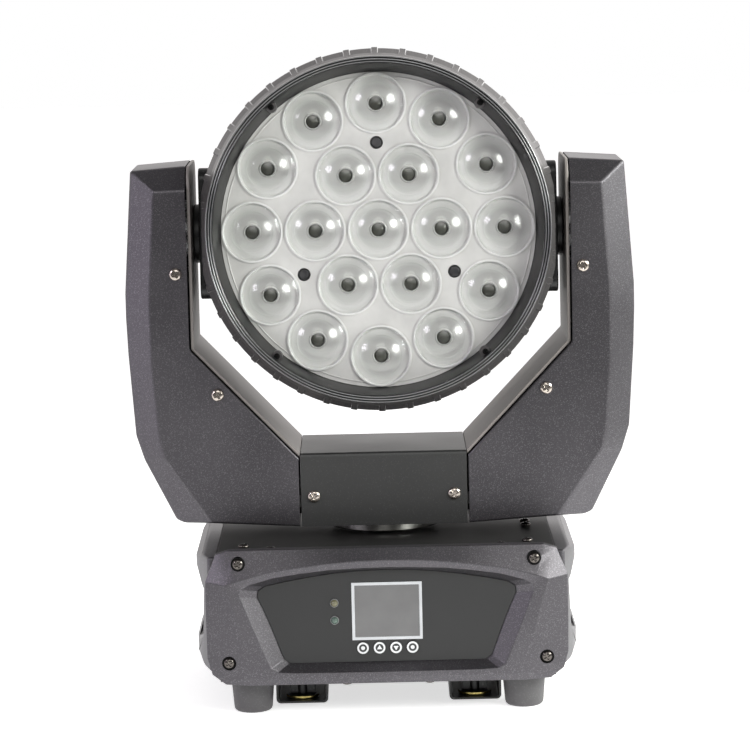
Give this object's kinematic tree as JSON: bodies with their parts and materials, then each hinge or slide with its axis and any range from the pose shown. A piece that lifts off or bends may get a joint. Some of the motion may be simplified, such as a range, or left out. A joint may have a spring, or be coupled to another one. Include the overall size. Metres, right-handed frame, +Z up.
{
  "type": "moving head light",
  "caption": "Zoom wash moving head: a round head with a plate of clear lenses tilts in a two-armed yoke that pans on a base with a display, menu buttons and clamp brackets.",
  "frame": {"origin": "on the floor under the pan axis, at the middle of the base", "axes": "+Z up along the pan axis, -Y towards the front panel, +X to the right as seen from the front"},
  "size_m": [0.3284, 0.21, 0.416],
  "materials": {
    "case_paint": "charcoal metallic speckle paint on moulded ABS",
    "sheet_paint": "satin dark grey powder coat",
    "inner_sheet": "satin grey-brown coat on folded steel",
    "head_black": "fine-grained dark grey ABS",
    "foot": "grey moulded plastic with a soft sole",
    "overlay": "semi-gloss dark printed sheet",
    "display": "clear window over a grey display, white border",
    "indicator": "diffused LED domes",
    "circuit_board": "green solder mask",
    "button": "white print on a dark cap",
    "tin_case": "plain sheet",
    "motor": "black laminations",
    "pulley": "turned",
    "belt": "moulded",
    "bearing": "ground",
    "inlet": "moulded",
    "socket": "nickel plated",
    "bracket": "black powder coat",
    "yellow_zinc": "yellow passivated zinc",
    "screw": "nickel plated",
    "heat_sink": "extruded",
    "led_plate": "white solder mask on a metal core",
    "emitter": "clear dome over dies",
    "trunnion": "black die casting",
    "fan": "moulded",
    "lens_plate": "translucent frosted sheet",
    "lens": "clear moulded acrylic",
    "black_screw": "black oxide"
  },
  "bodies": {
    "base": {"base_tray": "sheet_paint", "base_top_plate": "sheet_paint", "base_front_panel": "case_paint", "base_rear_panel": "sheet_paint", "handle_cover_left": "case_paint", "handle_cover_right": "case_paint", "feet": "foot", "control_panel": "overlay", "display_window": "display", "indicator_leds": "indicator", "control_board": "circuit_board", "power_supply": "tin_case", "pan_motor": "motor", "pan_belt": "belt", "pan_bearing": "bearing", "power_inlet": "inlet", "signal_input": "socket", "signal_output": "socket", "clamp_brackets": "bracket", "safety_eye": "sheet_paint", "case_screws": "screw"},
    "yoke": {"yoke_frame": "sheet_paint", "arm_plate_left": "inner_sheet", "arm_plate_right": "inner_sheet", "arm_shell_left": "case_paint", "arm_shell_right": "case_paint", "bar_cover": "sheet_paint", "pan_spindle": "bearing", "pan_pulley": "pulley", "tilt_motor": "motor", "tilt_belt": "belt", "tilt_bearings": "bearing", "yoke_screws": "screw"},
    "head": {"front_ring": "head_black", "head_shell": "head_black", "rear_cover": "head_black", "heat_sink": "heat_sink", "led_board": "led_plate", "led_emitters": "emitter", "trunnions": "trunnion", "tilt_pulley": "pulley", "fan_frame": "fan", "zoom_motors": "motor", "ring_screws": "black_screw"},
    "zoom_carriage": {"lens_plate": "lens_plate", "lenses": "lens"},
    "pan_drive": {"pan_motor_pulley": "pulley"},
    "tilt_drive": {"tilt_motor_pulley": "pulley"},
    "fan": {"fan_rotor": "fan"},
    "zoom_screw_1": {"zoom_screw_1": "black_screw"},
    "zoom_screw_2": {"zoom_screw_2": "black_screw"},
    "zoom_screw_3": {"zoom_screw_3": "black_screw"},
    "button_1": {"menu_button_1": "button"},
    "lock_1": {"quarter_turn_lock_1": "yellow_zinc"},
    "button_2": {"menu_button_2": "button"},
    "lock_2": {"quarter_turn_lock_2": "yellow_zinc"},
    "button_3": {"menu_button_3": "button"},
    "lock_3": {"quarter_turn_lock_3": "yellow_zinc"},
    "button_4": {"menu_button_4": "button"},
    "lock_4": {"quarter_turn_lock_4": "yellow_zinc"}
  },
  "joints": [
    {"name": "pan", "type": "hinge", "parent": "base", "child": "yoke", "pos_m": [0, 0, 0.1], "axis": [0, 0, 1], "range_deg": [-270, 270]},
    {"name": "tilt", "type": "hinge", "parent": "yoke", "child": "head", "pos_m": [0, 0, 0.297], "axis": [-1, 0, 0], "range_deg": [-50, 220]},
    {"name": "zoom", "type": "slide", "parent": "head", "child": "zoom_carriage", "axis": [0, -0.9963, 0.0854], "range_m": [-0.018, 0]},
    {"name": "pan_motor_turn", "type": "hinge", "parent": "base", "child": "pan_drive", "pos_m": [0, 0.068, 0.079], "axis": [0, 0, 1], "range_deg": [-1140, 1140]},
    {"name": "tilt_motor_turn", "type": "hinge", "parent": "yoke", "child": "tilt_drive", "pos_m": [0.1485, 0, 0.215], "axis": [-1, 0, 0], "range_deg": [-125, 530]},
    {"name": "fan_spin", "type": "hinge", "parent": "head", "child": "fan", "pos_m": [0, 0.0548, 0.2923], "axis": [0, -0.9963, 0.0854], "continuous": true},
    {"name": "zoom_screw_1_turn", "type": "hinge", "parent": "head", "child": "zoom_screw_1", "pos_m": [0, -0.02519, 0.35436], "axis": [0, -0.9963, 0.0854], "range_deg": [-5, 815]},
    {"name": "zoom_screw_2_turn", "type": "hinge", "parent": "head", "child": "zoom_screw_2", "pos_m": [-0.04763, -0.03224, 0.27216], "axis": [0, -0.9963, 0.0854], "range_deg": [-5, 815]},
    {"name": "zoom_screw_3_turn", "type": "hinge", "parent": "head", "child": "zoom_screw_3", "pos_m": [0.04763, -0.03224, 0.27216], "axis": [0, -0.9963, 0.0854], "range_deg": [-5, 815]},
    {"name": "button_1_press", "type": "slide", "parent": "base", "child": "button_1", "axis": [0, 1, 0], "range_m": [0, 0.0008], "stiffness_N_per_m": 1500},
    {"name": "lock_1_turn", "type": "hinge", "parent": "base", "child": "lock_1", "pos_m": [-0.055, -0.064, 0.012], "axis": [0, 0, 1], "range_deg": [0, 90]},
    {"name": "button_2_press", "type": "slide", "parent": "base", "child": "button_2", "axis": [0, 1, 0], "range_m": [0, 0.0008], "stiffness_N_per_m": 1500},
    {"name": "lock_2_turn", "type": "hinge", "parent": "base", "child": "lock_2", "pos_m": [0.055, -0.064, 0.012], "axis": [0, 0, 1], "range_deg": [0, 90]},
    {"name": "button_3_press", "type": "slide", "parent": "base", "child": "button_3", "axis": [0, 1, 0], "range_m": [0, 0.0008], "stiffness_N_per_m": 1500},
    {"name": "lock_3_turn", "type": "hinge", "parent": "base", "child": "lock_3", "pos_m": [-0.055, 0.064, 0.012], "axis": [0, 0, 1], "range_deg": [0, 90]},
    {"name": "button_4_press", "type": "slide", "parent": "base", "child": "button_4", "axis": [0, 1, 0], "range_m": [0, 0.0008], "stiffness_N_per_m": 1500},
    {"name": "lock_4_turn", "type": "hinge", "parent": "base", "child": "lock_4", "pos_m": [0.055, 0.064, 0.012], "axis": [0, 0, 1], "range_deg": [0, 90]}
  ],
  "couplings": [
    {"joint": "pan_motor_turn", "follows": "pan", "ratio": 4.2},
    {"joint": "tilt_motor_turn", "follows": "tilt", "ratio": 2.375},
    {"joint": "zoom_screw_1_turn", "follows": "zoom", "rad_per_m": -785.4},
    {"joint": "zoom_screw_2_turn", "follows": "zoom", "rad_per_m": -785.4},
    {"joint": "zoom_screw_3_turn", "follows": "zoom", "rad_per_m": -785.4}
  ]
}
